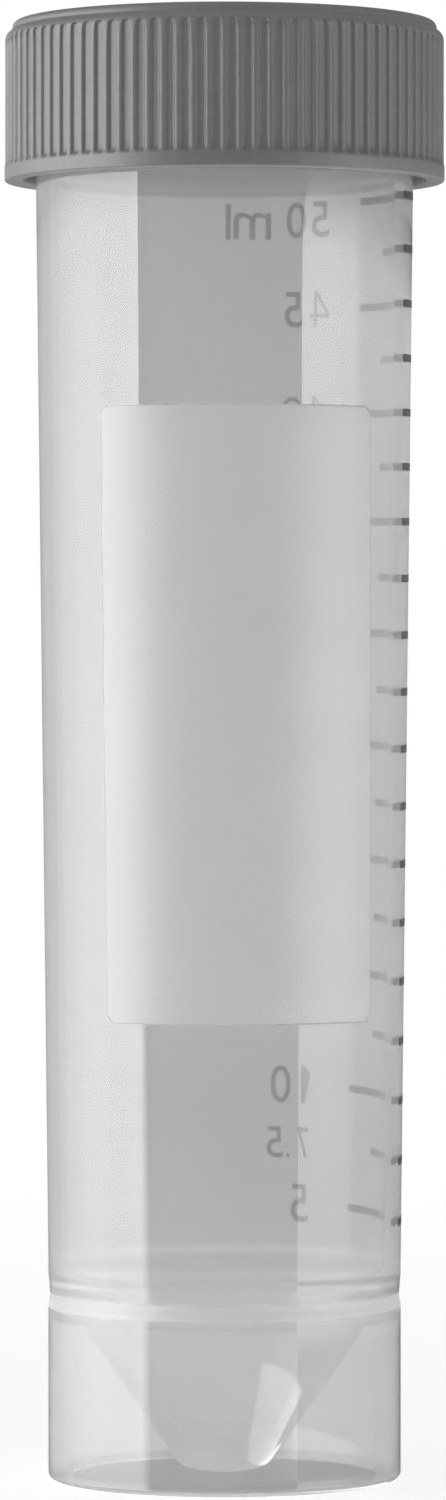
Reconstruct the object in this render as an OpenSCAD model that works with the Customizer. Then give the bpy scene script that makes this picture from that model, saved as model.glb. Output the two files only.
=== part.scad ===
// Self-standing 50 ml conical tube with a ribbed screw cap.
// Two mouldings: the tube (body, neck, conical bottom and skirt in one) and the cap.
// Millimetres, +Z up, origin at the centre of the foot of the skirt.

/* [Tube body] */
// Height of the open rim of the neck above the foot
tube_h = 113.2; // [112.6:0.1:113.3]
// Outside diameter of the body just under the cap
body_top_d = 29.76; // [29.5:0.02:29.9]
// Outside diameter of the skirt, and of the body where it meets the cone
skirt_d = 27.86; // [27.6:0.02:28.1]
// Inside diameter of the body just under the cap
bore_top_d = 27.34; // [27.1:0.02:27.6]
// Inside diameter of the body where the cone begins
bore_low_d = 25.66; // [25.4:0.02:25.9]

/* [Conical bottom] */
// Slope of the cone: how much its radius grows for each millimetre of height
cone_slope = 0.687; // [0.64:0.001:0.72]
// Radius at which the line of the cone meets the plane of its flat tip
tip_r = 3.32; // [3.0:0.01:3.6]
// Height of the flat tip above the foot of the skirt
tip_z = 0.64; // [0.3:0.02:1.0]
// Rounding between the flat tip and the cone
tip_round = 2.5; // [1.5:0.1:2.8]
// Thickness of the cone, measured level
cone_wall = 1.0; // [0.9:0.05:1.2]
// Thickness of the floor of the tip
tip_floor = 1.25; // [1.0:0.05:1.5]

/* [Skirt] */
// Thickness of the skirt wall
skirt_wall = 1.08; // [0.9:0.02:1.2]
// Rounding of the outer edge of the foot
foot_round = 0.5; // [0.3:0.05:0.65]
// Depth of the shallow sink round the outside where the cone joins the wall
sink_depth = 0.12; // [0.05:0.01:0.2]

/* [Neck and thread] */
// Height at which the body steps in to the neck
neck_z = 103.0; // [102.8:0.1:103.4]
// Outside diameter of the neck between the threads
neck_d = 29.4; // [29.2:0.05:29.5]
// Outside diameter over the thread
thread_d = 31.1; // [30.6:0.05:31.2]
// Rise of the thread in one turn
thread_pitch = 3.6; // [3.2:0.1:3.8]
// Number of turns of thread
thread_turns = 1.5; // [1:0.25:1.5]

/* [Cap] */
// Outside diameter over the ribs
cap_d = 34.62; // [34.4:0.02:34.8]
// Outside diameter of the smooth flange at the lower edge
flange_d = 34.74; // [34.6:0.02:34.9]
// Height of the lower edge of the cap above the foot
cap_z = 102.36; // [102.2:0.02:102.5]
// Height of the cap
cap_h = 12.6; // [12.5:0.05:12.9]
// Inside diameter of the cap's skirt, between its threads
cap_bore_d = 31.7; // [31.5:0.02:31.8]
// Number of grip ribs
rib_count = 90; // [72:6:108]
// Depth of the grooves between the ribs
rib_depth = 0.24; // [0.18:0.02:0.4]
// Height of the smooth flange under the ribs
flange_h = 1.15; // [0.9:0.05:1.4]

/* [Seal] */
// Outside diameter of the plug ring that enters the mouth
plug_d = 27.0; // [26.8:0.02:27.06]
// Thickness of the plug ring
plug_wall = 0.95; // [0.8:0.05:1.1]
// Length of the plug ring below the underside of the top
plug_len = 3.2; // [2.6:0.1:3.8]

/* [Hidden] */
$fn = 120;

// Heights that carry the body's taper
z_low = 17;
z_top = 102;

// Radius on a straight line through two stated heights
function lin(z, z0, r0, z1, r1) = r0 + (r1 - r0) * (z - z0) / (z1 - z0);
function body_r(z) = lin(z, z_low, skirt_d / 2, z_top, body_top_d / 2);
function bore_r(z) = lin(z, z_low, bore_low_d / 2, z_top, bore_top_d / 2);

// Line of the cone's outside and inside, and the heights where they meet the walls
function cone_out(z) = tip_r + cone_slope * (z - tip_z);
function cone_in(z) = cone_out(z) - cone_wall;
cone_a = atan(cone_slope);
skirt_in = skirt_d / 2 - skirt_wall;
crotch_z = tip_z + (skirt_in - tip_r) / cone_slope;
knee_z = tip_z + (bore_low_d / 2 + cone_wall - tip_r) / cone_slope;
floor_z = tip_z + tip_floor;

// Points on an arc about (cx, cz), from angle a0 to a1
function arc(cx, cz, r, a0, a1, n = 6) =
    [for (i = [0:n]) let (a = a0 + (a1 - a0) * i / n) [cx + r * cos(a), cz + r * sin(a)]];

// Rounding of the tip, outside: tangent to the flat and to the cone
tip_t = tip_round * tan((90 - cone_a) / 2);
// Rounding of the tip, inside
in_round = 1.4;
in_t = in_round * tan((90 - cone_a) / 2);
// Rounding of the knee, where the bore turns into the cone
knee_round = 4.0;
knee_t = knee_round * tan(cone_a / 2);
// Rounding at the top of the gap between the skirt and the cone
crotch_round = 0.35;
crotch_h = crotch_round / tan(cone_a / 2);

// Sink round the outside: a smooth dip, steeper below its deepest line than above
sink_z0 = 13.6;
sink_mid = 14.4;
sink_z1 = 16.6;
function sink_t(z) = z < sink_mid ? (z - sink_z0) / (sink_mid - sink_z0) : 1 + (z - sink_mid) / (sink_z1 - sink_mid);
function sink(z) = sink_depth * (1 - cos(180 * sink_t(z))) / 2;

// Section of the tube, right of the axis, anticlockwise from the foot
function tube_section() = concat(
    // foot of the skirt
    [[skirt_in + 0.2, 0]],
    arc(skirt_d / 2 - foot_round, foot_round, foot_round, -90, 0),
    // outside, with the sink
    [for (i = [0:14]) let (z = sink_z0 + (sink_z1 - sink_z0) * i / 14) [skirt_d / 2 - sink(z), z]],
    [[body_r(z_low), z_low], [body_r(z_top), z_top], [body_r(neck_z - 0.3), neck_z - 0.3]],
    // neck
    [[neck_d / 2, neck_z + 0.1], [neck_d / 2, tube_h - 0.5]],
    arc(neck_d / 2 - 0.5, tube_h - 0.5, 0.5, 0, 90, 4),
    arc(bore_r(z_top) + 0.3, tube_h - 0.3, 0.3, 90, 180, 3),
    // bore
    [[bore_r(z_top), z_top], [bore_r(knee_z + knee_t), knee_z + knee_t]],
    [for (i = [1:10]) let (a = cone_a * i / 10)
        [bore_low_d / 2 - knee_round * (1 - cos(a)), knee_z + knee_t - knee_round * sin(a)]],
    // inside of the cone, down to the floor of the tip
    [for (i = [0:4]) let (a = cone_a + (90 - cone_a) * i / 4)
        [cone_in(floor_z) - in_t + in_round * cos(a), floor_z + in_round - in_round * sin(a)]],
    [[0, floor_z], [0, tip_z]],
    // flat tip, its rounding and the outside of the cone
    [for (i = [0:8]) let (a = 90 - (90 - cone_a) * i / 8)
        [tip_r - tip_t + tip_round * cos(a), tip_z + tip_round - tip_round * sin(a)]],
    // top of the gap under the skirt
    [for (i = [0:5]) let (a = 180 - cone_a + (cone_a - 180) * i / 5)
        [skirt_in - crotch_round + crotch_round * cos(a), crotch_z - crotch_h + crotch_round * sin(a)]],
    [[skirt_in, 0.2]]
);

// Thread: a trapezoid swept up a helix, sunk into the wall it stands on and fading out at both ends
module thread_helix(wall_r, crest_r, z0, pitch, turns, base_w = 1.5, crest_w = 0.6, sides = 40) {
    steps = round(turns * sides);
    sink_in = 0.25;
    function fade(i) = min(1, min(i, steps - i) / (sides / 10));
    function ring(i) = let (
        a = 360 * i / sides,
        z = z0 + pitch * i / sides,
        f = fade(i),
        rc = wall_r - 0.1 + (crest_r - wall_r + 0.1) * f,
        r0 = wall_r - sink_in
    ) [
        [r0 * cos(a), r0 * sin(a), z - base_w / 2],
        [rc * cos(a), rc * sin(a), z - crest_w / 2],
        [rc * cos(a), rc * sin(a), z + crest_w / 2],
        [r0 * cos(a), r0 * sin(a), z + base_w / 2]
    ];
    pts = [for (i = [0:steps]) each ring(i)];
    sides_f = [for (i = [0:steps - 1], j = [0:3])
        let (a = 4 * i + j, b = 4 * i + (j + 1) % 4, c = a + 4, d = b + 4)
        each [[a, b, d], [a, d, c]]];
    ends = [[0, 3, 2], [0, 2, 1],
        [4 * steps, 4 * steps + 1, 4 * steps + 2], [4 * steps, 4 * steps + 2, 4 * steps + 3]];
    polyhedron(pts, concat(sides_f, ends), convexity = 4);
}

thread_z = neck_z + 2.4;

module tube() {
    color([0.83, 0.84, 0.85, 0.55])
    union() {
        rotate_extrude() polygon(tube_section());
        thread_helix(neck_d / 2, thread_d / 2, thread_z, thread_pitch, thread_turns);
    }
}

// Cap heights
cap_top = cap_z + cap_h;
plate_z = tube_h + 0.1;
rib_z0 = cap_z + flange_h;
rib_z1 = cap_top - 1.28;

// Outline of the ribs seen from above: narrow crests whose flanks run down into the wall behind them
rib_sunk = 0.25;
function rib_outline() = [for (i = [0:rib_count - 1], k = [0:3])
    let (p = 360 / rib_count,
         a = p * (i + [-0.3, -0.13, 0.13, 0.3][k]),
         r = cap_d / 2 - (k == 0 || k == 3 ? rib_depth + rib_sunk : 0))
    [r * cos(a), r * sin(a)]];

// Section of the cap's smooth parts: flange, wall behind the ribs, shoulder, top and plug ring
function cap_section() = concat(
    [[cap_bore_d / 2 + 0.3, cap_z]],
    arc(flange_d / 2 - 0.15, cap_z + 0.15, 0.15, -90, 0, 4),
    [[flange_d / 2, rib_z0 - 0.1], [flange_d / 2 - 0.1, rib_z0]],
    [[cap_d / 2 - rib_depth, rib_z0], [cap_d / 2 - rib_depth, rib_z1], [cap_d / 2 + 0.02, rib_z1 + 0.02]],
    // shoulder, with the small step to the crown
    [for (i = [0:5]) let (a = 90 * i / 5) [cap_d / 2 - 0.6 + 0.62 * cos(a), rib_z1 + 0.04 + 0.6 * sin(a)]],
    arc(cap_d / 2 - 1.15, cap_top - 0.5, 0.5, 0, 90, 4),
    [[0, cap_top], [0, plate_z]],
    // plug ring
    [[plug_d / 2 - plug_wall, plate_z], [plug_d / 2 - plug_wall, plate_z - plug_len + 0.3],
     [plug_d / 2 - plug_wall + 0.25, plate_z - plug_len], [plug_d / 2 - 0.5, plate_z - plug_len],
     [plug_d / 2, plate_z - plug_len + 1.0], [plug_d / 2, plate_z - 0.6], [plug_d / 2 - 0.15, plate_z]],
    [[cap_bore_d / 2, plate_z], [cap_bore_d / 2, cap_z + 0.3]]
);

module screw_cap() {
    color([0.42, 0.42, 0.43])
    union() {
        rotate_extrude() polygon(cap_section());
        difference() {
            translate([0, 0, rib_z0 - 0.2]) linear_extrude(rib_z1 - rib_z0 + 0.26) polygon(rib_outline());
            translate([0, 0, rib_z0 - 1]) cylinder(r = cap_d / 2 - rib_depth - 0.6, h = rib_z1 - rib_z0 + 2);
        }
    }
}

tube();
screw_cap();
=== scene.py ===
import math

import bpy
import bmesh
import numpy as np
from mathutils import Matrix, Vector


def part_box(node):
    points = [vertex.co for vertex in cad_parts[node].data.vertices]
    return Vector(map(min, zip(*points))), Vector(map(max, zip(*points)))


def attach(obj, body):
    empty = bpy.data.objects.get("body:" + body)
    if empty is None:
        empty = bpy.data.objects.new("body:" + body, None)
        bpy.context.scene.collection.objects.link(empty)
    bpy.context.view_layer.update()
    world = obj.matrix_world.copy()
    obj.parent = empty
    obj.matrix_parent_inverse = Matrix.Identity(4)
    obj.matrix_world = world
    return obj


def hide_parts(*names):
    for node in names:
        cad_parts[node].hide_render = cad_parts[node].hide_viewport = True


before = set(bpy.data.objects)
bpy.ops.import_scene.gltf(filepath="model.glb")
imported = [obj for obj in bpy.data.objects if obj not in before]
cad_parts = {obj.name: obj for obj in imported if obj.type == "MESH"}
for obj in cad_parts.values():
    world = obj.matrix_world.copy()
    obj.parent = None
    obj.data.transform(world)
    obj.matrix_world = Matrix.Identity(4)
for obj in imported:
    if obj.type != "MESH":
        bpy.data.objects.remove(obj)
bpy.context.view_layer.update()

MM = 0.001
RAD = math.pi / 180
scene = bpy.context.scene

# ---------------------------------------------------------------- sizes, in mm
tube_lo, tube_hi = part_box("tube")
cap_lo, cap_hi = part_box("screw_cap")
TUBE_H = (tube_hi.z - tube_lo.z) / MM          # open rim of the neck
CAP_Z = cap_lo.z / MM                          # lower edge of the cap
CAP_TOP = cap_hi.z / MM
Z_LOW, Z_TOP = 17.0, 102.0                     # ends of the body's taper
R_LOW, R_TOP = 13.93, 14.88
B_LOW, B_TOP = 12.83, 13.67
SKIRT_IN = 12.85
TIP_R, TIP_Z, TIP_ROUND = 3.32, 0.64, 2.5
SLOPE, CONE_WALL, TIP_FLOOR = 0.687, 1.0, 1.25
FOOT_ROUND, SINK = 0.5, 0.12
NECK_Z, NECK_R, THREAD_R, PITCH, TURNS = 103.0, 14.7, 15.55, 3.6, 1.5
THREAD_Z = NECK_Z + 2.4
CAP_R, FLANGE_R, CAP_BORE, RIBS = 17.31, 17.37, 15.85, 90
RIB_DEPTH, FLANGE_H = 0.24, 1.15
PLUG_R, PLUG_WALL, PLUG_LEN = 13.5, 0.95, 3.2
CONE_A = math.atan(SLOPE)


def lin(z, z0, a, z1, b):
    return a + (b - a) * (z - z0) / (z1 - z0)


def body_r(z):
    return lin(z, Z_LOW, R_LOW, Z_TOP, R_TOP)


def bore_r(z):
    return lin(z, Z_LOW, B_LOW, Z_TOP, B_TOP)


def arc(cx, cz, r, a0, a1, n):
    """Points on an arc, angles in degrees, both ends included."""
    t = np.linspace(a0 * RAD, a1 * RAD, n + 1)
    return [(cx + r * math.cos(a), cz + r * math.sin(a)) for a in t]


def smooth(t):
    t = np.clip(t, 0.0, 1.0)
    return t * t * (3 - 2 * t)


# ---------------------------------------------------------------- mesh builder
class Solid:
    """Rings of points joined into one closed mesh."""

    def __init__(self):
        self.v, self.f, self.n = [], [], 0

    def ring(self, pts):
        pts = np.asarray(pts, float).reshape(-1, 3)
        self.v.append(pts)
        ids = np.arange(self.n, self.n + len(pts))
        self.n += len(pts)
        return ids

    def join(self, a, b):
        """Quads between two rings of one length, a below b on an outer wall."""
        a2, b2 = np.roll(a, -1), np.roll(b, -1)
        self.f += list(zip(a.tolist(), a2.tolist(), b2.tolist(), b.tolist()))

    def join_fewer(self, a, b, flip=False):
        """Ring a has k times the points of ring b."""
        k = len(a) // len(b)
        n, m = len(a), len(b)
        for j in range(m):
            b0, b1 = int(b[j]), int(b[(j + 1) % m])
            pts = [int(a[(j * k + i) % n]) for i in range(k + 1)]
            half = k // 2
            for i in range(k):
                top = b0 if i < half else b1
                tri = (pts[i], pts[i + 1], top)
                self.f.append(tri[::-1] if flip else tri)
            tri = (pts[half], b1, b0)
            self.f.append(tri[::-1] if flip else tri)

    def pole(self, a, point, top=True):
        c = int(self.ring([point])[0])
        a2 = np.roll(a, -1)
        for p, q in zip(a.tolist(), a2.tolist()):
            self.f.append((p, q, c) if top else (q, p, c))

    def make(self, name, sharp=32):
        me = bpy.data.meshes.new(name)
        v = np.concatenate(self.v) * MM
        me.from_pydata(v.tolist(), [], self.f)
        me.validate()
        me.shade_smooth()
        me.set_sharp_from_angle(angle=sharp * RAD)
        ob = bpy.data.objects.new(name, me)
        scene.collection.objects.link(ob)
        return ob


def around(r, az, z):
    """Points at radius r, azimuth az (degrees from the side that carries the panel) and height z."""
    az = np.asarray(az, float) * RAD
    r = np.broadcast_to(np.asarray(r, float), az.shape)
    z = np.broadcast_to(np.asarray(z, float), az.shape)
    return np.stack([r * np.sin(az), -r * np.cos(az), z], 1)


# ---------------------------------------------------------------- the tube
PANEL_Z0, PANEL_Z1, PANEL_CORNER, PANEL_UP = 36.5, 84.2, 0.85, 0.045


def panel_sides(z):
    z = min(max(z, PANEL_Z0), PANEL_Z1)
    return (lin(z, PANEL_Z0, -39.8, PANEL_Z1, -40.6), lin(z, PANEL_Z0, 52.8, PANEL_Z1, 50.3))


# columns, as distances in mm from a side of the panel (positive is inwards)
EDGE = [-0.3, -0.12, -0.05, 0.02, 0.09, 0.17, 0.26, 0.36, 0.48, 0.62, 0.78, 0.96, 1.2]
N_IN, N_OUT = 62, (60, 148, 12)
SEAMS = (128.0, 308.0)                         # where the two halves of the mould meet


def columns(z):
    """Azimuths of every column at height z. They follow the panel's two sides."""
    a, b = panel_sides(z)
    k = 1 / (body_r(min(max(z, 17), 102)) * RAD)
    left = [a + e * k for e in EDGE]
    right = [b - e * k for e in EDGE[::-1]]
    mid = np.linspace(left[-1], right[0], N_IN + 2)[1:-1]
    ends = [right[-1]] + [v + e for v in SEAMS for e in (-0.9, 0.9)] + [left[0] + 360]
    out = []
    for i, n in enumerate(N_OUT):
        out.append(np.linspace(ends[2 * i], ends[2 * i + 1], n + 2)[1:-1])
        if i < len(SEAMS):
            out.append(SEAMS[i] + np.linspace(-0.9, 0.9, 9))
    return np.concatenate([left, mid, right] + out)


N_COL = len(columns(50))


def panel_mask(az, z):
    """1 on the raised panel, 0 off it, with a short slope between."""
    a, b = panel_sides(z)
    r = body_r(z)
    az = (np.asarray(az) + 180) % 360 - 180
    s = (az - (a + b) / 2) * RAD * r
    half_s = (b - a) / 2 * RAD * r
    half_z = (PANEL_Z1 - PANEL_Z0) / 2
    dx = np.abs(s) - (half_s - PANEL_CORNER)
    dz = abs(z - (PANEL_Z0 + PANEL_Z1) / 2) - (half_z - PANEL_CORNER)
    d = np.hypot(np.maximum(dx, 0), np.maximum(dz, 0)) + np.minimum(np.maximum(dx, dz), 0) - PANEL_CORNER
    return smooth(0.5 - d / 0.16)


def sink(z):
    """Depth of the shallow sink round the outside where the cone joins the wall."""
    t = (z - 13.6) / 1.6 if z < 14.4 else 0.5 + (z - 14.4) / 4.4
    return SINK * (1 - math.cos(2 * math.pi * t)) / 2


def seam(az):
    """A faint raised line where the two halves of the mould meet."""
    d = np.min([np.abs((az - v + 180) % 360 - 180) for v in SEAMS], axis=0)
    return 0.012 * np.exp(-((d / 0.32) ** 2))


def thread_rise(az, z, wall, crest, z0, turns, base_w=1.296, crest_w=0.6, sense=1):
    """Radius of a wall that carries a right-hand thread, with ends that fade out."""
    th = (np.asarray(az) - 90.0) % 360.0
    r = np.full(th.shape, wall, float)
    for k in range(int(math.ceil(turns)) + 1):
        a = th + 360.0 * k
        on = (a >= 0) & (a <= 360.0 * turns)
        fade = np.clip(np.minimum(a, 360.0 * turns - a) / 36.0, 0, 1)
        dz = np.abs(z - (z0 + PITCH * a / 360.0))
        up = np.clip((base_w / 2 - dz) / ((base_w - crest_w) / 2), 0, 1)
        up = np.where(up > 0.85, 0.85 + (up - 0.85) * 0.6, up) / 0.94
        up = np.clip(up, 0, 1)
        rise = (crest - wall) * smooth(fade) * up
        r = np.where(on & (np.abs(rise) > np.abs(r - wall)), wall + rise, r)
    return r


def build_tube():
    s = Solid()
    knee_z = TIP_Z + (B_LOW + CONE_WALL - TIP_R) / SLOPE
    knee_round = 4.0
    knee_t = knee_round * math.tan(CONE_A / 2)
    crotch_z = TIP_Z + (SKIRT_IN - TIP_R) / SLOPE
    crotch_round = 0.35
    crotch_h = crotch_round / math.tan(CONE_A / 2)
    tip_t = TIP_ROUND * math.tan((math.pi / 2 - CONE_A) / 2)
    in_round = 1.4
    in_t = in_round * math.tan((math.pi / 2 - CONE_A) / 2)
    floor_z = TIP_Z + TIP_FLOOR
    ca = math.degrees(CONE_A)

    def cone_out(z):
        return TIP_R + SLOPE * (z - TIP_Z)

    def cone_in(z):
        return cone_out(z) - CONE_WALL

    rows = []                                       # (kind, r, z)
    # flat tip, from the axis outwards, its rounding, and the outside of the cone
    r_flat = TIP_R - tip_t
    rows += [("plain", r_flat * 0.4, TIP_Z), ("plain", r_flat * 0.8, TIP_Z)]
    rows += [("plain", TIP_R - tip_t + TIP_ROUND * math.cos(a * RAD), TIP_Z + TIP_ROUND + TIP_ROUND * math.sin(a * RAD))
             for a in np.linspace(-90, -ca, 11)]
    z_a = rows[-1][2]
    z_b = crotch_z - crotch_h + crotch_round * math.sin((180 - ca) * RAD)
    rows += [("plain", cone_out(z), z) for z in np.linspace(z_a, z_b, 9)[1:-1]]
    rows += [("plain", SKIRT_IN - crotch_round + crotch_round * math.cos(a * RAD),
              crotch_z - crotch_h + crotch_round * math.sin(a * RAD)) for a in np.linspace(180 - ca, 0, 9)]
    rows += [("plain", SKIRT_IN, z) for z in (12.6, 10.5, 8.0, 5.5, 3.0, 1.0, 0.3)]
    # foot
    rows += [("plain", SKIRT_IN + 0.03, 0.12), ("plain", SKIRT_IN + 0.09, 0.04), ("plain", SKIRT_IN + 0.2, 0.0)]
    rows += [("plain", r, z) for r, z in arc(R_LOW - FOOT_ROUND, FOOT_ROUND, FOOT_ROUND, -90, 0, 8)]
    # outside: skirt, sink, body
    rows += [("out", R_LOW, z) for z in (1.2, 3.0, 5.5, 8.0, 10.5, 12.4, 13.3, 13.5)]
    rows += [("out", R_LOW - sink(z), z) for z in np.concatenate([np.linspace(13.6, 14.4, 14), np.linspace(14.4, 16.6, 14)[1:]])]
    zs = [Z_LOW, Z_LOW + 0.2, Z_LOW + 0.5] + list(np.linspace(Z_LOW + 1.0, PANEL_Z0 - 1.0, 8))
    zs += [PANEL_Z0 + e for e in EDGE]
    zs += list(np.linspace(PANEL_Z0 + EDGE[-1], PANEL_Z1 - EDGE[-1], 14)[1:-1])
    zs += [PANEL_Z1 - e for e in EDGE[::-1]]
    zs += list(np.linspace(PANEL_Z1 + 1.0, NECK_Z - 0.9, 8)) + [NECK_Z - e for e in (0.6, 0.45, 0.36, 0.3)]
    rows += [("out", body_r(z), z) for z in zs]
    # step and neck
    rows += [("plain", r, z) for r, z in ((14.86, 102.78), (14.80, 102.95), (14.735, 103.05))]
    rows += [("neck", NECK_R, z) for z in np.linspace(103.1, TUBE_H - 0.5, 78)]
    rows += [("plain", r, z) for r, z in arc(NECK_R - 0.5, TUBE_H - 0.5, 0.5, 0, 90, 7)[1:]]
    rows += [("plain", r, z) for r, z in arc(B_TOP + 0.3, TUBE_H - 0.3, 0.3, 90, 180, 6)]
    # bore
    rows += [("plain", B_TOP, 107.0), ("plain", B_TOP, Z_TOP + 0.4)]
    low = knee_z + knee_t
    zs = [Z_TOP] + list(np.linspace(Z_TOP - 0.4, low + 2.0, 16)) + [low + e for e in (1.0, 0.5, 0.2, 0.0)]
    rows += [("plain", bore_r(z), z) for z in zs]
    rows += [("plain", B_LOW - knee_round * (1 - math.cos(a * RAD)), knee_z + knee_t - knee_round * math.sin(a * RAD))
             for a in np.linspace(0, ca, 15)[1:]]
    z_c = rows[-1][2]
    r_d = cone_in(floor_z) - in_t + in_round * math.cos(CONE_A)
    z_d = floor_z + in_round - in_round * math.sin(CONE_A)
    rows += [("plain", cone_in(z), z) for z in np.linspace(z_c, z_d, 9)[1:-1]]
    rows += [("plain", cone_in(floor_z) - in_t + in_round * math.cos(a * RAD), floor_z + in_round - in_round * math.sin(a * RAD))
             for a in np.linspace(ca, 90, 9)]
    rows += [("plain", (cone_in(floor_z) - in_t) * 0.5, floor_z)]

    rings, mask = [], []
    for kind, r, z in rows:
        az = columns(z)
        m = np.zeros(N_COL)
        rad = np.full(N_COL, r)
        if kind == "out":
            if PANEL_Z0 - 1 < z < PANEL_Z1 + 1:
                m = panel_mask(az, z)
            rad = rad + PANEL_UP * m + seam(az)
        elif kind == "neck":
            rad = thread_rise(az, z, NECK_R, THREAD_R, THREAD_Z, TURNS)
        rings.append(s.ring(around(rad, az, z)))
        mask.append(m)
    for a, b in zip(rings[:-1], rings[1:]):
        s.join(a, b)
    s.pole(rings[0], (0, 0, TIP_Z), top=False)
    s.pole(rings[-1], (0, 0, floor_z), top=True)
    mask += [np.zeros(1), np.zeros(1)]
    pts = np.concatenate(s.v)
    zz, rr = pts[:, 2], np.hypot(pts[:, 0], pts[:, 1])
    wall = rr > R_LOW - 0.2
    upper = 1 - smooth((zz - 14.6) / 0.35)
    matt = np.where(wall, smooth((zz - 13.45) / 0.15) * upper, 0.0)
    matt += np.where(wall, 0.0, 0.4 * smooth((zz - 15.4) / 0.8) * (1 - smooth((zz - 17.25) / 0.6)))
    cone = (zz < 13.9) & (rr < SKIRT_IN - 0.02)
    milk = np.where(wall, 0.5 * smooth((zz - 13.45) / 0.15) * upper, 0.0)
    milk += np.where(cone, 0.06 + 0.10 * (1 - smooth((zz - 1.5) / 2.5)), 0.0)
    milk += np.where(~cone & (zz < 13.3), 0.05, 0.0)
    milk += np.where(wall & (zz > 14.6), 0.10 * (1 - smooth((zz - 14.9) / 2.4)), 0.0)
    milk += np.where(~wall & ~cone & (zz > 13.3), 0.14 * (1 - smooth((zz - 15.2) / 2.0)), 0.0)
    milk += 0.14 * smooth((zz - 102.0) / 0.8)
    milk = np.maximum(milk, np.where(rr > SKIRT_IN - 0.01, 0.35 * (1 - smooth((zz - 0.1) / 0.3)), 0.0))
    ob = s.make("tube_moulding")
    for name, values in (("milk", milk), ("matt", matt)):
        at = ob.data.attributes.new(name, "FLOAT", "POINT")
        at.data.foreach_set("value", values.astype(np.float32))
    at = ob.data.attributes.new("panel", "FLOAT", "POINT")
    at.data.foreach_set("value", np.concatenate(mask).astype(np.float32))
    return ob


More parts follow.
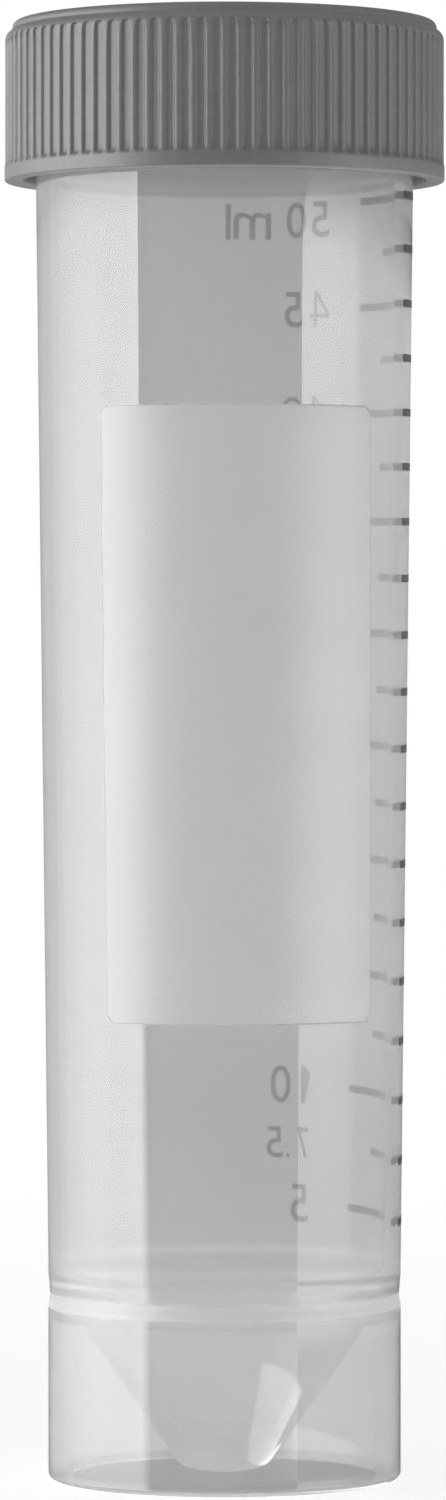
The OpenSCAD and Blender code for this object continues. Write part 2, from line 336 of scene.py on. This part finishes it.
# ---------------------------------------------------------------- the cap
def build_cap():
    s = Solid()
    per = 360.0 / RIBS
    # one rib: where its columns stand in the pitch and how far up the flank they are (1 crest, 0 groove)
    cols = [(-0.5, 0.0), (-0.36, 0.0), (-0.285, 0.04), (-0.235, 0.3), (-0.17, 0.82), (-0.11, 1.0),
            (0.11, 1.0), (0.17, 0.82), (0.235, 0.3), (0.285, 0.04), (0.36, 0.0)]
    # a groove centred on each multiple of the pitch plus a half
    az = np.concatenate([[(i + c) * per for c, _ in cols] for i in range(RIBS)])
    frac = np.tile([c for c, _ in cols], RIBS)
    lift = np.tile([u for _, u in cols], RIBS)
    n_out = len(az)
    az_in = az[::3]

    r_crest, r_root = CAP_R, CAP_R - RIB_DEPTH
    rib_z0 = CAP_Z + FLANGE_H
    groove_top = CAP_TOP - 1.28
    half_groove = 0.285 * per * RAD * CAP_R          # mm, half the width of a groove's mouth
    off = (0.5 - np.abs(frac)) * per * RAD * CAP_R   # mm from the middle of the nearest groove

    rings = []
    # flange, from the inner lower edge outwards
    for r, z in arc(FLANGE_R - 0.15, CAP_Z + 0.15, 0.15, -90, 0, 7):
        rings.append(("o", np.full(n_out, r), np.full(n_out, z)))
    rings.append(("o", np.full(n_out, FLANGE_R), np.full(n_out, rib_z0 - 0.16)))
    # run-out of the flange into the grooves
    for t in (0.0, 0.25, 0.5, 0.75, 1.0):
        w = smooth(t)
        low = FLANGE_R + (r_root - FLANGE_R) * w
        high = FLANGE_R + (r_crest - FLANGE_R) * w
        rings.append(("o", low + (high - low) * lift, np.full(n_out, rib_z0 - 0.08 + 0.42 * t)))
    # straight part
    ribs_r = r_root + (r_crest - r_root) * lift
    for z in (rib_z0 + 0.9, rib_z0 + 3.0, rib_z0 + 5.0, rib_z0 + 7.0, rib_z0 + 8.6):
        rings.append(("o", ribs_r, np.full(n_out, z)))
    # upper ends: every groove closes in a round arch
    for t in np.linspace(0, 1, 9):
        z = groove_top - 0.62 + 0.74 * t
        rise = z - (groove_top - half_groove)
        width = np.sqrt(max(half_groove ** 2 - max(rise, 0) ** 2, 0.0))
        depth = smooth((width - off) / 0.16 + 0.5) if width > 0 else np.zeros(n_out)
        open_ = 1 - np.minimum(depth, 1 - lift)
        shoulder = 0.075 * max(0.0, (z - CAP_TOP + 1.46) / 0.30) ** 2
        rings.append(("o", r_root + (r_crest - r_root) * open_ - shoulder, np.full(n_out, z)))
    # shoulder, small step, crown edge
    prof = [(17.20, 113.97), (17.14, 114.06), (17.06, 114.15), (16.97, 114.225), (16.90, 114.275), (16.84, 114.32),
            (16.79, 114.37), (16.76, 114.43), (16.75, 114.50)]
    dz = CAP_TOP - 115.06
    prof = [(r, z + dz) for r, z in prof]
    prof += arc(16.25, CAP_TOP - 0.5, 0.5, 8, 90, 9)
    for r, z in prof:
        rings.append(("o", np.full(n_out, r), np.full(n_out, z)))

    ids = [s.ring(around(r, az, z)) for _, r, z in rings]
    for a, b in zip(ids[:-1], ids[1:]):
        s.join(a, b)

    # top, with a faint dished centre and the mark of the gate
    top = [(15.9, 0.0), (13.0, 0.0), (8.0, 0.0), (4.0, 0.0), (2.6, 0.0), (2.35, -0.05), (2.1, -0.14), (1.85, -0.17),
           (0.75, -0.17), (0.68, -0.14), (0.62, -0.05), (0.5, -0.01), (0.25, 0.0)]
    tops = [s.ring(around(np.full(len(az_in), r), az_in, CAP_TOP + h)) for r, h in top]
    s.join_fewer(ids[-1], tops[0])
    for a, b in zip(tops[:-1], tops[1:]):
        s.join(a, b)
    s.pole(tops[-1], (0, 0, CAP_TOP), top=True)

    # underside: from the axis outwards over the plate, down the plug ring and the threaded skirt
    plate_z = TUBE_H + 0.1
    under = [(3.0, plate_z), (8.0, plate_z), (11.8, plate_z)]
    under += arc(PLUG_R - PLUG_WALL - 0.25, plate_z - 0.25, 0.25, 90, 0, 4)
    under += [(PLUG_R - PLUG_WALL, plate_z - PLUG_LEN + 0.3), (PLUG_R - PLUG_WALL + 0.08, plate_z - PLUG_LEN + 0.1),
              (PLUG_R - PLUG_WALL + 0.25, plate_z - PLUG_LEN), (PLUG_R - 0.5, plate_z - PLUG_LEN)]
    under += [(PLUG_R - 0.36, plate_z - PLUG_LEN + 0.1), (PLUG_R - 0.1, plate_z - PLUG_LEN + 0.75),
              (PLUG_R, plate_z - PLUG_LEN + 1.15), (PLUG_R, plate_z - 0.6), (PLUG_R - 0.13, plate_z - 0.1),
              (PLUG_R - 0.06, plate_z), (14.6, plate_z)]
    under += arc(CAP_BORE - 0.2, plate_z - 0.2, 0.2, 90, 0, 3)
    under_ids = [s.ring(around(np.full(len(az_in), r), az_in, z)) for r, z in under]
    skirt = []
    for z in np.linspace(plate_z - 0.35, CAP_Z + 0.5, 62):
        r = thread_rise(az_in, z, CAP_BORE, 15.03, THREAD_Z - PITCH / 2 + 0.35, 1.75, base_w=1.25, crest_w=0.45)
        skirt.append(s.ring(around(r, az_in, z)))
    lip = [(CAP_BORE, CAP_Z + 0.3), (CAP_BORE + 0.08, CAP_Z + 0.1), (CAP_BORE + 0.28, CAP_Z)]
    lips = [s.ring(around(np.full(len(az_in), r), az_in, z)) for r, z in lip]
    inner = under_ids + skirt + lips
    s.pole(inner[0], (0, 0, plate_z), top=False)
    for a, b in zip(inner[:-1], inner[1:]):
        s.join(a, b)
    # the lower edge closes on the flange's first ring
    s.join_fewer(ids[0], lips[-1], flip=True)
    return s.make("cap_moulding", sharp=40)


# ---------------------------------------------------------------- the printed scale
# Places along the print are degrees from the back of the tube, towards the right-hand side, at its upper end.
PRINT_NEAR, MAJOR_FAR, MINOR_FAR = 108.7, 52.6, 69.3
SKEW = math.tan(1.4 * RAD)
INK = 0.018            # half the thickness of the print, half of it stands in the wall
MARK_HALF = 0.30
TICKS = {50: 101.18, 47.5: 96.97, 45: 92.68, 42.5: 88.40, 40: 84.12, 37.5: 79.86, 35: 75.54, 32.5: 71.09, 30: 66.63,
         27.5: 62.16, 25: 57.68, 22.5: 53.16, 20: 48.61, 17.5: 43.99, 15: 39.37, 12.5: 34.67, 10: 29.99, 7.5: 25.25, 5: 20.43}


def narrowing(z):
    """The print covers slightly less of the turn towards the foot."""
    return lin(z, 20.0, 0.945, 100.0, 1.005)


def on_wall(u, z, h):
    """A point of the print: u as above, height z, h mm off the wall."""
    return around(body_r(z) + h, [180.0 - u * narrowing(z)], z)[0]


def build_ticks():
    bm = bmesh.new()
    for val, z90 in TICKS.items():
        k = narrowing(z90) * RAD * body_r(z90)          # mm for one unit along the print
        u0, u1 = PRINT_NEAR, (MAJOR_FAR if val % 5 == 0 else MINOR_FAR)
        length, hw = (u0 - u1) * k, MARK_HALF
        corner = 0.16
        # centreline stations from the near end; rounded corners at both ends
        turn = np.linspace(0.0, math.pi / 2, 6)
        st = [(corner * (1 - math.cos(a)), hw - corner * (1 - math.sin(a))) for a in turn]
        st += [(x, hw) for x in np.linspace(corner, length - hw, 40)[1:-1]]
        st += [(length - hw + hw * math.sin(a), max(hw * math.cos(a), 0.05)) for a in turn]
        loops = []
        for x, w in st:
            u = u0 - x / k
            zc = z90 + (90.0 / narrowing(z90) - u) * k * SKEW
            ring = [on_wall(u, zc - w, -INK), on_wall(u, zc + w, -INK), on_wall(u, zc + w, INK), on_wall(u, zc - w, INK)]
            loops.append([bm.verts.new(Vector(p) * MM) for p in ring])
        for a, b in zip(loops[:-1], loops[1:]):
            for i in range(4):
                j = (i + 1) % 4
                bm.faces.new((a[i], a[j], b[j], b[i]))
        bm.faces.new(loops[0][::-1])
        bm.faces.new(loops[-1])
    bmesh.ops.recalc_face_normals(bm, faces=bm.faces)
    me = bpy.data.meshes.new("scale_marks")
    bm.to_mesh(me)
    bm.free()
    ob = bpy.data.objects.new("scale_marks", me)
    scene.collection.objects.link(ob)
    return ob


GLYPH_OFFSET = 0.02


# Two characters that are given as lists: corner points, flat patches that meet corner to corner, and the outlines.
ONE = ([(0.58, 0), (1, 0), (1, 1), (0.72, 1), (0, 0.80), (0, 0.69), (0.58, 0.83)],
       [[0, 1, 2, 3, 4, 5, 6]], [[0, 1, 2, 3, 4, 5, 6]])
FOUR = ([(0.645, 0), (0.785, 0), (0.785, 0.26), (1, 0.26), (1, 0.36), (0.785, 0.36), (0.785, 1), (0.63, 1), (0, 0.36),
         (0, 0.26), (0.645, 0.26), (0.645, 0.36), (0.645, 0.853), (0.16, 0.36)],
        [[0, 1, 2, 10], [9, 10, 11, 13], [9, 13, 8], [10, 2, 5, 11], [2, 3, 4, 5], [11, 5, 6, 12], [12, 6, 7],
         [8, 13, 12, 7]],
        [[0, 1, 2, 3, 4, 5, 6, 7, 8, 9, 10], [11, 13, 12]])


def cut_across(bm, cuts):
    """Cut a character into upright strips, so that it can follow the wall."""
    for i in range(1, cuts):
        geom = bm.verts[:] + bm.edges[:] + bm.faces[:]
        bmesh.ops.bisect_plane(bm, geom=geom, dist=2e-3, plane_co=(i / cuts, 0, 0), plane_no=(1, 0, 0))


def drawn(points, patches, rings, height, cuts):
    bm = bmesh.new()
    low, high = ([bm.verts.new((x, y * height, t)) for x, y in points] for t in (-INK, INK))
    for p in patches:
        bm.faces.new([low[i] for i in reversed(p)])
        bm.faces.new([high[i] for i in p])
    for ring in rings:
        for i, j in zip(ring, ring[1:] + ring[:1]):
            bm.faces.new((low[i], low[j], high[j], high[i]))
    cut_across(bm, cuts)
    bmesh.ops.triangulate(bm, faces=bm.faces)
    return bm


def glyph(char, height):
    """A closed, flat character as a bmesh, from 0 to 1 across, 0 to height up and INK either way in depth."""
    if char == "1":
        return drawn(*ONE, height, 1)
    if char == "4":
        return drawn(*FOUR, height, 5)
    cu = bpy.data.curves.new("t", "FONT")
    cu.body = char
    cu.size = 4.2
    cu.resolution_u = 5
    cu.extrude = INK
    cu.offset = GLYPH_OFFSET
    tmp = bpy.data.objects.new("t", cu)
    scene.collection.objects.link(tmp)
    dg = bpy.context.evaluated_depsgraph_get()
    me = bpy.data.meshes.new_from_object(tmp.evaluated_get(dg))
    bpy.data.objects.remove(tmp)
    bpy.data.curves.remove(cu)
    bm = bmesh.new()
    bm.from_mesh(me)
    bpy.data.meshes.remove(me)
    bmesh.ops.remove_doubles(bm, verts=bm.verts, dist=1e-4)
    xs = [v.co.x for v in bm.verts]
    ys = [v.co.y for v in bm.verts]
    x0, y0, w, h = min(xs), min(ys), max(xs) - min(xs), max(ys) - min(ys)
    for v in bm.verts:
        v.co.x = (v.co.x - x0) / w
        v.co.y = (v.co.y - y0) / h * height
    cut_across(bm, max(2, int(w / 0.35)))
    return bm


# (character, near side, far side, bottom, top)
NUMBERS = [
    ("5", 37.4, 30.2, 98.78, 101.69), ("0", 28.2, 21.0, 98.78, 101.69), ("m", 15.6, 2.9, 98.78, 100.96),
    ("l", 2.1, 0.4, 98.78, 101.69),
    ("4", 37.8, 29.8, 91.58, 94.46), ("5", 27.0, 20.5, 91.58, 94.46),
    ("4", 37.5, 29.5, 83.05, 86.00), ("0", 27.2, 20.0, 83.05, 86.00),
    ("3", 36.7, 29.7, 74.45, 77.40), ("5", 26.8, 20.3, 74.45, 77.40),
    ("3", 36.2, 29.2, 65.55, 68.50), ("0", 26.6, 19.2, 65.55, 68.50),
    ("2", 35.8, 28.8, 56.50, 59.45), ("5", 26.0, 19.4, 56.50, 59.45),
    ("2", 35.2, 28.2, 47.40, 50.35), ("0", 25.6, 18.2, 47.40, 50.35),
    ("1", 33.7, 29.8, 38.15, 41.15), ("5", 25.4, 18.6, 38.15, 41.15),
    ("1", 33.1, 29.3, 28.84, 31.87), ("0", 25.0, 17.1, 28.84, 31.87),
    ("7", 32.5, 27.7, 24.39, 26.90), (".", 24.6, 23.4, 24.40, 24.76), ("5", 22.1, 15.7, 24.39, 26.90),
    ("5", 32.7, 25.4, 19.21, 22.29),
]


def build_numbers():
    out = bmesh.new()
    for char, near, far, low, high in NUMBERS:
        bm = glyph(char, high - low)
        k = narrowing(low) * RAD * body_r(low)
        for v in bm.verts:
            u = near + (far - near) * v.co.x
            v.co = Vector(on_wall(u, low + v.co.y + ((near + far) / 2 - u) * k * SKEW, v.co.z)) * MM
        me = bpy.data.meshes.new("g")
        bm.to_mesh(me)
        bm.free()
        out.from_mesh(me)
        bpy.data.meshes.remove(me)
    bmesh.ops.recalc_face_normals(out, faces=out.faces)
    me = bpy.data.meshes.new("scale_numbers")
    out.to_mesh(me)
    out.free()
    ob = bpy.data.objects.new("scale_numbers", me)
    scene.collection.objects.link(ob)
    return ob


# ---------------------------------------------------------------- materials
def material(name):
    m = bpy.data.materials.new(name)
    m.use_nodes = True
    nt = m.node_tree
    nt.nodes.clear()
    out = nt.nodes.new("ShaderNodeOutputMaterial")
    return m, nt, out


def add(nt, kind, **props):
    n = nt.nodes.new(kind)
    for k, v in props.items():
        setattr(n, k, v)
    return n


def math_node(nt, op, a, b=None, clamp=False):
    n = add(nt, "ShaderNodeMath", operation=op, use_clamp=clamp)
    for i, x in enumerate((a, b)):
        if x is None:
            continue
        if isinstance(x, (int, float)):
            n.inputs[i].default_value = x
        else:
            nt.links.new(x, n.inputs[i])
    return n.outputs[0]


def noise_tex(nt, vec, scale, detail=3.0, rough=0.5, dist=0.0):
    n = add(nt, "ShaderNodeTexNoise")
    nt.links.new(vec, n.inputs["Vector"])
    n.inputs["Scale"].default_value = scale
    n.inputs["Detail"].default_value = detail
    n.inputs["Roughness"].default_value = rough
    n.inputs["Distortion"].default_value = dist
    return n.outputs["Fac"]


def ramp(nt, fac, p0, v0, p1, v1):
    n = add(nt, "ShaderNodeMapRange")
    nt.links.new(fac, n.inputs["Value"])
    for k, v in zip(("From Min", "From Max", "To Min", "To Max"), (p0, p1, v0, v1)):
        n.inputs[k].default_value = v
    return n.outputs["Result"]


def mix_value(nt, fac, a, b):
    """a where fac is 0 and b where it is 1; a and b are numbers or sockets."""
    n = add(nt, "ShaderNodeMix", data_type="FLOAT")
    nt.links.new(fac, n.inputs[0])
    for i, x in ((2, a), (3, b)):
        if isinstance(x, (int, float)):
            n.inputs[i].default_value = x
        else:
            nt.links.new(x, n.inputs[i])
    return n.outputs[0]


def grey(nt, value, tint=(1.0, 1.0, 1.0)):
    """A colour socket from a value socket."""
    n = add(nt, "ShaderNodeCombineColor")
    for i, t in enumerate(tint):
        nt.links.new(math_node(nt, "MULTIPLY", value, t), n.inputs[i])
    return n.outputs[0]


def bump(nt, height, strength, distance, normal=None):
    n = add(nt, "ShaderNodeBump")
    n.inputs["Strength"].default_value = strength
    n.inputs["Distance"].default_value = distance
    nt.links.new(height, n.inputs["Height"])
    if normal is not None:
        nt.links.new(normal, n.inputs["Normal"])
    return n.outputs["Normal"]


HAZE_TINT, HAZE_SHARE = 0.90, 0.20
PANEL_TINT, PANEL_SHARE = 0.92, 0.47


def tube_material():
    m, nt, out = material("polypropylene_clear")
    tc = add(nt, "ShaderNodeTexCoord")
    vec = tc.outputs["Object"]
    mask = add(nt, "ShaderNodeAttribute", attribute_name="panel").outputs["Fac"]
    milk = add(nt, "ShaderNodeAttribute", attribute_name="milk").outputs["Fac"]
    matt = add(nt, "ShaderNodeAttribute", attribute_name="matt").outputs["Fac"]
    # faint flow clouding of the moulding, and the fine grain of the panel
    cloud = noise_tex(nt, vec, 90.0, 3.0, 0.55, 0.4)
    fine = noise_tex(nt, vec, 900.0, 2.0, 0.5)
    grain = noise_tex(nt, vec, 4200.0, 2.0, 0.6)
    value = math_node(nt, "ADD", ramp(nt, cloud, 0.3, -0.012, 0.7, 0.012), mix_value(nt, mask, HAZE_TINT, PANEL_TINT))
    value = math_node(nt, "MINIMUM", math_node(nt, "ADD", value, math_node(nt, "MULTIPLY", milk, 0.16)), 0.985)
    share = mix_value(nt, mask, 1.0 - HAZE_SHARE, 1.0 - PANEL_SHARE)
    share = math_node(nt, "SUBTRACT", share, milk)
    p = add(nt, "ShaderNodeBsdfPrincipled")
    p.inputs["IOR"].default_value = 1.49
    nt.links.new(grey(nt, value, (0.995, 1.0, 1.002)), p.inputs["Base Color"])
    polish = mix_value(nt, matt, ramp(nt, fine, 0.3, 0.02, 0.7, 0.05), 0.40)
    nt.links.new(mix_value(nt, mask, polish, ramp(nt, grain, 0.3, 0.31, 0.7, 0.41)), p.inputs["Roughness"])
    nt.links.new(share, p.inputs["Transmission Weight"])
    wave = bump(nt, cloud, 0.12, 0.00006)
    rough = add(nt, "ShaderNodeBump")
    rough.inputs["Distance"].default_value = 0.00007
    nt.links.new(grain, rough.inputs["Height"])
    nt.links.new(math_node(nt, "MULTIPLY", mask, 0.6), rough.inputs["Strength"])
    nt.links.new(wave, rough.inputs["Normal"])
    nt.links.new(rough.outputs["Normal"], p.inputs["Normal"])
    # lamps shine through the wall, as through the real translucent plastic
    lamp = add(nt, "ShaderNodeLightPath")
    clear = add(nt, "ShaderNodeBsdfTransparent")
    clear.inputs["Color"].default_value = (0.92, 0.92, 0.92, 1)
    mx = add(nt, "ShaderNodeMixShader")
    nt.links.new(lamp.outputs["Is Shadow Ray"], mx.inputs[0])
    nt.links.new(p.outputs[0], mx.inputs[1])
    nt.links.new(clear.outputs[0], mx.inputs[2])
    nt.links.new(mx.outputs[0], out.inputs["Surface"])
    return m


def cap_material():
    m, nt, out = material("polypropylene_grey")
    tc = add(nt, "ShaderNodeTexCoord")
    vec = tc.outputs["Object"]
    grain = noise_tex(nt, vec, 5200.0, 3.0, 0.6)
    cloud = noise_tex(nt, vec, 130.0, 3.0, 0.5, 0.5)
    speck = noise_tex(nt, vec, 1500.0, 2.0, 0.6)
    value = math_node(nt, "ADD", ramp(nt, cloud, 0.3, -0.008, 0.7, 0.008), ramp(nt, speck, 0.3, 0.228, 0.7, 0.250))
    p = add(nt, "ShaderNodeBsdfPrincipled")
    p.inputs["IOR"].default_value = 1.49
    nt.links.new(grey(nt, value, (1.0, 0.985, 0.99)), p.inputs["Base Color"])
    nt.links.new(ramp(nt, grain, 0.3, 0.36, 0.7, 0.48), p.inputs["Roughness"])
    nt.links.new(bump(nt, grain, 0.35, 0.00002), p.inputs["Normal"])
    nt.links.new(p.outputs[0], out.inputs["Surface"])
    return m


def ink_material():
    m, nt, out = material("scale_ink")
    tc = add(nt, "ShaderNodeTexCoord")
    vec = tc.outputs["Object"]
    n1 = noise_tex(nt, vec, 2600.0, 3.0, 0.6)
    p = add(nt, "ShaderNodeBsdfPrincipled")
    nt.links.new(grey(nt, ramp(nt, n1, 0.3, 0.030, 0.7, 0.055)), p.inputs["Base Color"])
    nt.links.new(ramp(nt, n1, 0.3, 0.35, 0.7, 0.55), p.inputs["Roughness"])
    nt.links.new(bump(nt, n1, 0.3, 0.00001), p.inputs["Normal"])
    nt.links.new(p.outputs[0], out.inputs["Surface"])
    return m


# ---------------------------------------------------------------- pieces
tube = build_tube()
tube.data.materials.append(tube_material())
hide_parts("tube")
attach(tube, "tube_body")

cap = build_cap()
cap.data.materials.append(cap_material())
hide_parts("screw_cap")
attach(cap, "cap_body")

ink = ink_material()
for ob in (build_ticks(), build_numbers()):
    ob.data.materials.append(ink)
    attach(ob, "tube_body")

# ---------------------------------------------------------------- floor
def floor_material(name, albedo, lift):
    """Matt, lit a little from within, fading to nothing away from the object. Pale on the floor, dark on the disc under
    the tube, which is a painted shadow.
    """
    m, nt, out = material(name)
    tc = add(nt, "ShaderNodeTexCoord")
    dist = add(nt, "ShaderNodeVectorMath", operation="LENGTH")
    nt.links.new(tc.outputs["Object"], dist.inputs[0])
    diff = add(nt, "ShaderNodeBsdfDiffuse")
    diff.inputs["Color"].default_value = (albedo, albedo, albedo, 1)
    clear = add(nt, "ShaderNodeBsdfTransparent")
    mx = add(nt, "ShaderNodeMixShader")
    nt.links.new(ramp(nt, dist.outputs["Value"], 0.06, 0.0, 0.30, 1.0), mx.inputs[0])
    glow = add(nt, "ShaderNodeEmission")
    glow.inputs["Strength"].default_value = lift
    both = add(nt, "ShaderNodeAddShader")
    nt.links.new(diff.outputs[0], both.inputs[0])
    nt.links.new(glow.outputs[0], both.inputs[1])
    nt.links.new(both.outputs[0], mx.inputs[1])
    nt.links.new(clear.outputs[0], mx.inputs[2])
    nt.links.new(mx.outputs[0], out.inputs["Surface"])
    return m


# the small dark unlit disc under the tube is a painted shadow inside the skirt, seen through the walls
for name, radius, z, albedo in (("floor", 2.5, -0.00002, 0.86), ("floor_painted_shadow", 0.0132, 0.0, 0.44)):
    bpy.ops.mesh.primitive_circle_add(vertices=96, radius=radius, fill_type="NGON", location=(0, 0, z))
    ob = bpy.context.object
    ob.name = name
    ob.data.materials.append(floor_material(name, albedo, 0.45 if name == "floor" else 0.0))
    ob.visible_glossy = ob.visible_diffuse = ob.visible_shadow = False
    ob.visible_transmission = name == "floor_painted_shadow"

# ---------------------------------------------------------------- world and lights
# the backdrop as the camera sees it, the light of the tent, what shows through the walls, what shows in reflections
SEEN, TENT, BACK, BACK_LOW, ROOM = 1.0, 0.48, 0.44, 0.85, 0.25
world = bpy.data.worlds.new("studio")
scene.world = world
world.use_nodes = True
world.cycles.sampling_method = "NONE"
nt = world.node_tree
nt.nodes.clear()
wout = add(nt, "ShaderNodeOutputWorld")
lp = add(nt, "ShaderNodeLightPath")
way = add(nt, "ShaderNodeSeparateXYZ")
nt.links.new(add(nt, "ShaderNodeTexCoord").outputs["Generated"], way.inputs[0])
back = math_node(nt, "MINIMUM", ramp(nt, way.outputs["Z"], -0.0940, BACK_LOW, -0.0870, BACK),
                 ramp(nt, way.outputs["Z"], -0.130, BACK, -0.119, BACK_LOW))
level = mix_value(nt, lp.outputs["Is Glossy Ray"], TENT, ROOM)
level = mix_value(nt, lp.outputs["Is Transmission Ray"], level, back)
level = mix_value(nt, lp.outputs["Is Camera Ray"], level, SEEN)
bg = add(nt, "ShaderNodeBackground")
bg.inputs["Color"].default_value = (1, 1, 1, 1)
nt.links.new(level, bg.inputs["Strength"])
nt.links.new(bg.outputs[0], wout.inputs["Surface"])


def softbox(name, radius, az_stops, z_stops, corner=None, side=None):
    """A curved diffuser round the axis, seen only in reflections. Stops are (azimuth or height in mm, brightness)."""
    az0, az1 = az_stops[0][0], az_stops[-1][0]
    z0, z1 = z_stops[0][0], z_stops[-1][0]
    azs = np.linspace(az0, az1, 40)
    bm = bmesh.new()
    tops = np.full(len(azs), z1)
    if corner:                                       # the upper corner at the first azimuth is rounded off
        tops = z1 - corner[0] * (1 - np.sqrt(np.clip(1 - (1 - (azs - az0) / corner[1]).clip(0, 1) ** 2, 0, 1)))
    rows = [[bm.verts.new(Vector(p) * MM) for p in around(radius, azs, z)] for z in (z0, tops)]
    for i in range(len(azs) - 1):
        bm.faces.new((rows[0][i], rows[0][i + 1], rows[1][i + 1], rows[1][i]))
    me = bpy.data.meshes.new(name)
    bm.to_mesh(me)
    bm.free()
    ob = bpy.data.objects.new(name, me)
    scene.collection.objects.link(ob)
    m, nt, out = material(name)
    geo = add(nt, "ShaderNodeNewGeometry")
    sep = add(nt, "ShaderNodeSeparateXYZ")
    nt.links.new(geo.outputs["Position"], sep.inputs[0])
    az = math_node(nt, "ARCTAN2", sep.outputs["X"], math_node(nt, "MULTIPLY", sep.outputs["Y"], -1.0))
    az = math_node(nt, "MULTIPLY", az, 180 / math.pi)
    z = math_node(nt, "MULTIPLY", sep.outputs["Z"], 1000.0)
    total = None
    for value, stops in ((az, az_stops), (z, z_stops)):
        low, high = stops[0][0], stops[-1][0]
        top = max(v for _, v in stops)
        r = add(nt, "ShaderNodeValToRGB")
        cr = r.color_ramp
        cr.interpolation = "LINEAR"
        while len(cr.elements) < len(stops):
            cr.elements.new(0.5)
        for e, (a, v) in zip(cr.elements, sorted(stops, key=lambda q: (q[0] - low) / (high - low))):
            e.position = (a - low) / (high - low)
            e.color = (v / top, v / top, v / top, 1)
        nt.links.new(ramp(nt, value, low, 0.0, high, 1.0), r.inputs["Fac"])
        level = math_node(nt, "MULTIPLY", r.outputs["Color"], top)
        total = level if total is None else math_node(nt, "MULTIPLY", total, level)
    if side:                                         # the last side leans and goes soft towards the floor
        ends, blur = [], []
        for out_, k in ((ends, 1), (blur, 2)):
            for a, b in zip(side[:-1], side[1:]):
                out_.append(ramp(nt, z, a[0], a[k], b[0], b[k]))
        end = math_node(nt, "SUBTRACT", math_node(nt, "ADD", ends[0], ends[1]), side[1][1])
        soft = math_node(nt, "SUBTRACT", math_node(nt, "ADD", blur[0], blur[1]), side[1][2])
        fade = math_node(nt, "DIVIDE", math_node(nt, "SUBTRACT", end, az), soft, clamp=True)
        total = math_node(nt, "MULTIPLY", total, fade)
    em = add(nt, "ShaderNodeEmission")
    nt.links.new(total, em.inputs["Strength"])
    nt.links.new(em.outputs[0], out.inputs["Surface"])
    me.materials.append(m)
    ob.visible_camera = ob.visible_diffuse = ob.visible_transmission = ob.visible_shadow = False
    return ob


softbox("softbox_left", 450.0,
        [(-178, 0.3), (-165, 0.45), (-155, 0.6), (-147, 0.75), (-141, 0.9), (-135, 1.05), (-128, 1.65), (-121, 2.4),
         (-114, 3.1), (-108, 3.9), (-100, 5.0), (-93, 5.8), (-86, 6.4), (-73, 6.8), (-61, 7.3), (-54.4, 8.0), (-47.0, 8.0)],
        [(-250, 0.7), (-75, 0.8), (-60, 0.62), (-53, 0.66), (-32, 0.72), (-20, 0.94), (0, 1.0), (123, 1.0), (126.5, 0.75), (130.5, 0.6), (137, 1.25),
         (190, 1.2), (260, 0.5), (420, 0.2), (700, 0.1)],
        side=[(-45, -47.6, 7.0), (-10, -49.3, 6.0), (60, -53.2, 0.4)])
softbox("softbox_right", 450.0,
        [(47.6, 4.4), (61, 4.5), (67, 4.4), (73, 4.1), (80, 3.7), (86, 3.3), (92, 2.1), (100, 1.75), (108, 1.5),
         (115, 1.3), (122, 1.1), (129, 0.9), (137, 0.7), (145, 0.6), (155, 0.5), (178, 0.3)],
        [(-130, 0.0), (-115, 0.62), (-65, 0.66), (-50, 0.06), (-33, 0.08), (-29, 0.62), (-22, 0.70), (-8, 0.8), (7, 0.95), (25, 1.0), (50, 1.02), (85, 1.15), (107, 1.4), (116, 1.3),
         (120, 0.85), (124, 0.4), (128, 0.1)], corner=(9.0, 14.0))
softbox("softbox_low", 452.0,
        [(20, 0.0), (34, 0.9), (47, 1.8), (62, 1.9), (78, 1.5), (94, 0.6), (112, 0.0)],
        [(-58, 0.0), (-50, 1.0), (-35, 1.0), (-31, 0.5), (-28, 0.0)])


def low_panel(name, corners, z, level):
    """A flat panel far under the object, seen only in reflections on the conical bottom."""
    me = bpy.data.meshes.new(name)
    me.from_pydata([(x * MM, y * MM, z * MM) for x, y in corners], [], [tuple(range(len(corners)))])
    ob = bpy.data.objects.new(name, me)
    scene.collection.objects.link(ob)
    m, nt, out = material(name)
    em = add(nt, "ShaderNodeEmission")
    em.inputs["Strength"].default_value = level
    nt.links.new(em.outputs[0], out.inputs["Surface"])
    me.materials.append(m)
    ob.visible_camera = ob.visible_diffuse = ob.visible_transmission = ob.visible_shadow = False


# two panels with a narrow gap between them
LOW_Z, LOW_LEVEL = -300.0, 5.0
low_panel("low_panel_near", [(105, -83), (303, -83), (303, 155), (160, -1), (160, -9)], LOW_Z, LOW_LEVEL)
low_panel("low_panel_far", [(160, 2.4), (303, 158.4), (303, 700), (160, 700)], LOW_Z, LOW_LEVEL)


def area(name, pos, width, height, watts, aim=(0, 0, 0.06)):
    """A soft lamp that lights the object and the floor, and isn't seen in reflections."""
    li = bpy.data.lights.new(name, "AREA")
    li.shape = "RECTANGLE"
    li.size, li.size_y = width, height
    li.energy = watts
    ob = bpy.data.objects.new(name, li)
    scene.collection.objects.link(ob)
    ob.location = pos
    ob.rotation_euler = (Vector(aim) - Vector(pos)).to_track_quat("-Z", "Y").to_euler()
    ob.visible_camera = ob.visible_glossy = ob.visible_transmission = False
    return ob


area("lamp_left", (-0.6, -0.15, 0.25), 0.5, 0.6, 0.7)
area("lamp_top", (0, 0.05, 0.9), 0.9, 0.9, 0.6)
area("lamp_low", (0, 0, -0.7), 0.5, 0.5, 2.4)

# ---------------------------------------------------------------- camera
cam_data = bpy.data.cameras.new("camera")
cam_data.sensor_fit = "AUTO"
cam_data.sensor_width = 36.0
cam_data.lens = 6641.0 * 36.0 / 1500.0
cam_data.clip_start, cam_data.clip_end = 0.01, 50.0
cam = bpy.data.objects.new("camera", cam_data)
scene.collection.objects.link(cam)
cam.location = (-0.00012, -0.525, 0.06296)
cam.rotation_euler = (math.pi / 2 - math.atan(69.0 / 6641.0), 0, 0)
scene.camera = cam

scene.view_settings.view_transform = "Standard"
scene.view_settings.look = "None"
scene.view_settings.exposure = 0.0
scene.view_settings.gamma = 1.0
